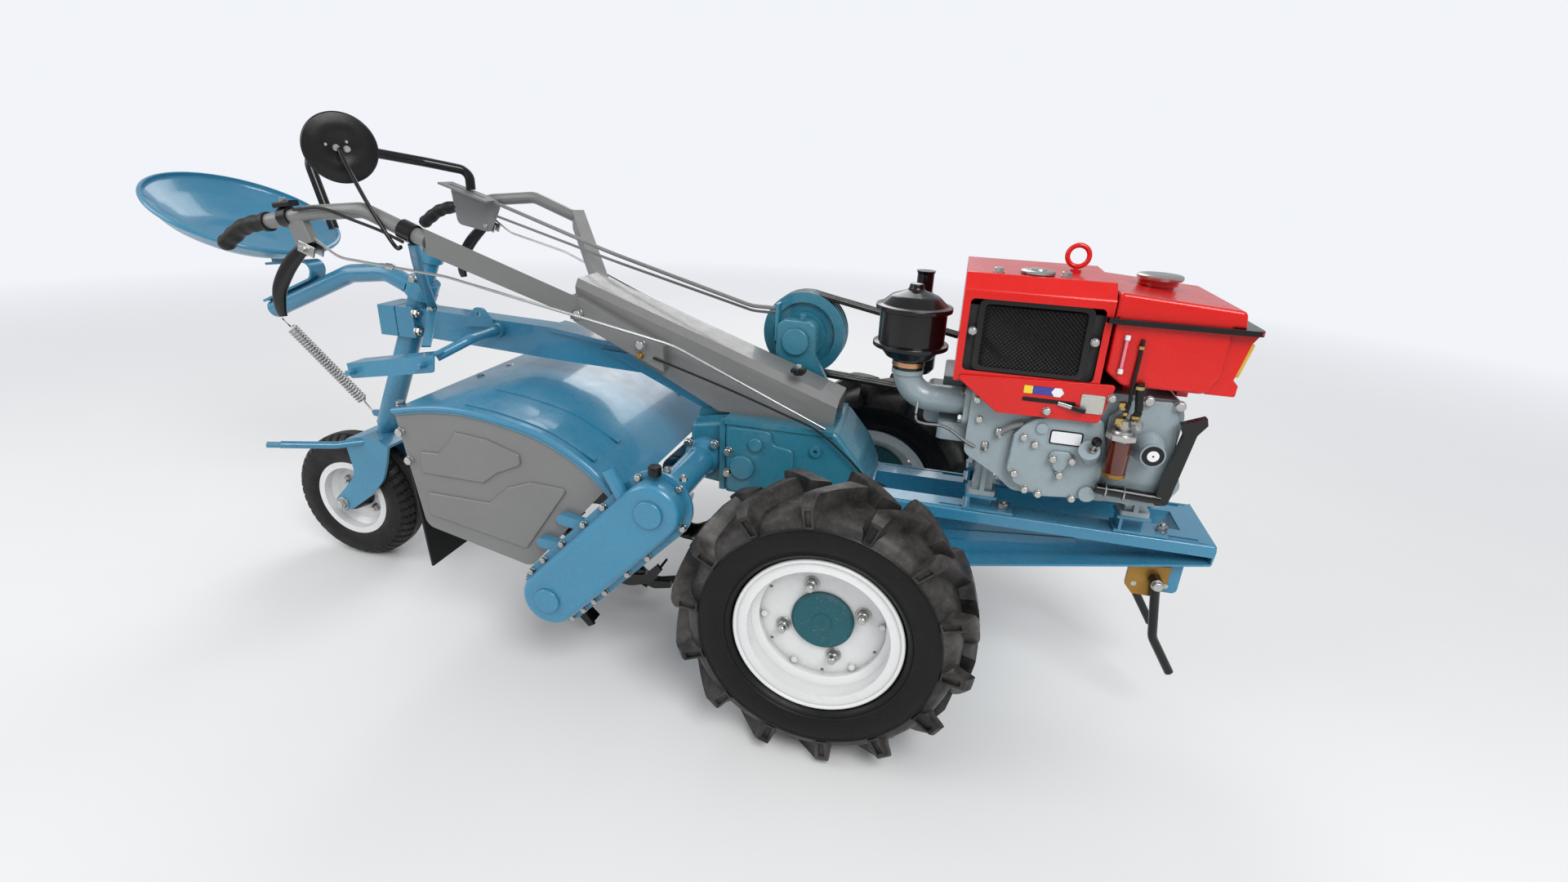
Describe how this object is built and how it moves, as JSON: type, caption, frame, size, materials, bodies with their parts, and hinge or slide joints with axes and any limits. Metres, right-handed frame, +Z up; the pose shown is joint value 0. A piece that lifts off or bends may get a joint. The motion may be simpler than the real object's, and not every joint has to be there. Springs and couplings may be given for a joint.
{
  "type": "walking tractor",
  "caption": "Two-wheel walking tractor with single-cylinder engine, belt drive, handlebar, seat, tail wheel and rotary tiller.",
  "frame": {"origin": "on the ground, on the centre plane, at the middle of the overall length", "axes": "+X forwards to the engine end, +Y to the machine's left, +Z up"},
  "size_m": [2.7072, 0.922, 1.254],
  "materials": {
    "blue_paint": "gloss paint",
    "amber_lens": "moulded lens",
    "brass": "turned",
    "red_paint": "gloss paint",
    "grey_paint": "semi-gloss paint",
    "engine_grey": "light grey enamel",
    "teal_casting": "gloss enamel over casting",
    "white_paint": "gloss paint",
    "black_paint": "gloss paint",
    "black_plastic": "moulded",
    "black_rubber": "moulded",
    "tyre": "matte with dust",
    "bare_steel": "zinc plated",
    "core_alloy": "dusty finned core"
  },
  "bodies": {
    "chassis": {"frame": "blue_paint", "gearbox": "teal_casting", "axle_tube_left": "teal_casting", "axle_tube_right": "teal_casting", "tiller_gearbox": "teal_casting", "cross_tube": "blue_paint", "chain_case": "blue_paint", "tiller_hood": "blue_paint", "side_plate_left": "grey_paint", "side_plate_right": "grey_paint", "tiller_flap": "black_rubber", "end_bearing": "blue_paint", "engine_block": "engine_grey", "engine_mounts": "blue_paint", "gear_cover": "engine_grey", "radiator_hood": "red_paint", "lifting_eye": "bare_steel", "radiator": "core_alloy", "fuel_tank": "red_paint", "headlamp": "amber_lens", "lower_cover": "red_paint", "fuel_filter": "brass", "crank_handle": "bare_steel", "air_cleaner": "black_paint", "intake_elbow": "engine_grey", "muffler": "black_paint", "clutch_casting": "teal_casting", "belts": "black_rubber", "handle_beam": "grey_paint", "handle_arm_left": "grey_paint", "handle_arm_right": "grey_paint", "grip_left": "black_rubber", "grip_right": "black_rubber", "hand_lever_left": "black_paint", "hand_lever_right": "black_paint", "link_rods": "bare_steel", "tail_post": "blue_paint", "tool_beam": "blue_paint", "pedal": "blue_paint", "seat_pan": "blue_paint", "seat_spring": "blue_paint", "seat_tube": "blue_paint", "coil_spring": "bare_steel", "console": "grey_paint", "clutch_lever": "black_paint", "mirror": "black_plastic"},
    "wheel_left": {"hub_left": "teal_casting", "rim_left": "white_paint", "tyre_left": "tyre"},
    "wheel_right": {"hub_right": "teal_casting", "rim_right": "white_paint", "tyre_right": "tyre"},
    "tail_fork": {"tail_fork": "blue_paint"},
    "tail_wheel": {"tail_rim": "white_paint", "tail_tyre": "tyre"},
    "tiller_rotor": {"rotor": "black_paint"},
    "flywheel": {"flywheel": "engine_grey"},
    "clutch_pulley": {"clutch_pulley": "teal_casting"},
    "front_stand": {"front_stand": "black_paint"}
  },
  "joints": [
    {"name": "wheel_left_spin", "type": "hinge", "parent": "chassis", "child": "wheel_left", "pos_m": [0.571, 0.375, 0.317], "axis": [0, 1, 0], "continuous": true},
    {"name": "wheel_right_spin", "type": "hinge", "parent": "chassis", "child": "wheel_right", "pos_m": [0.571, -0.375, 0.317], "axis": [0, 1, 0], "continuous": true},
    {"name": "tail_steer", "type": "hinge", "parent": "chassis", "child": "tail_fork", "pos_m": [-0.795, 0, 0.44], "axis": [0.408, 0, 0.913], "range_deg": [-35, 35]},
    {"name": "tail_wheel_spin", "type": "hinge", "parent": "tail_fork", "child": "tail_wheel", "pos_m": [-0.927, 0, 0.196], "axis": [0, 1, 0], "continuous": true},
    {"name": "rotor_spin", "type": "hinge", "parent": "chassis", "child": "tiller_rotor", "pos_m": [-0.049, 0, 0.258], "axis": [0, 1, 0], "continuous": true},
    {"name": "flywheel_spin", "type": "hinge", "parent": "chassis", "child": "flywheel", "pos_m": [1.031, 0.15, 0.7], "axis": [0, 1, 0], "continuous": true},
    {"name": "clutch_pulley_spin", "type": "hinge", "parent": "chassis", "child": "clutch_pulley", "pos_m": [0.381, 0.2, 0.785], "axis": [0, 1, 0], "continuous": true},
    {"name": "stand_fold", "type": "hinge", "parent": "chassis", "child": "front_stand", "pos_m": [1.262, 0, 0.374], "axis": [0, 1, 0], "range_deg": [0, 75]}
  ],
  "couplings": [
    {"joint": "clutch_pulley_spin", "follows": "flywheel_spin", "ratio": 0.60194}
  ]
}
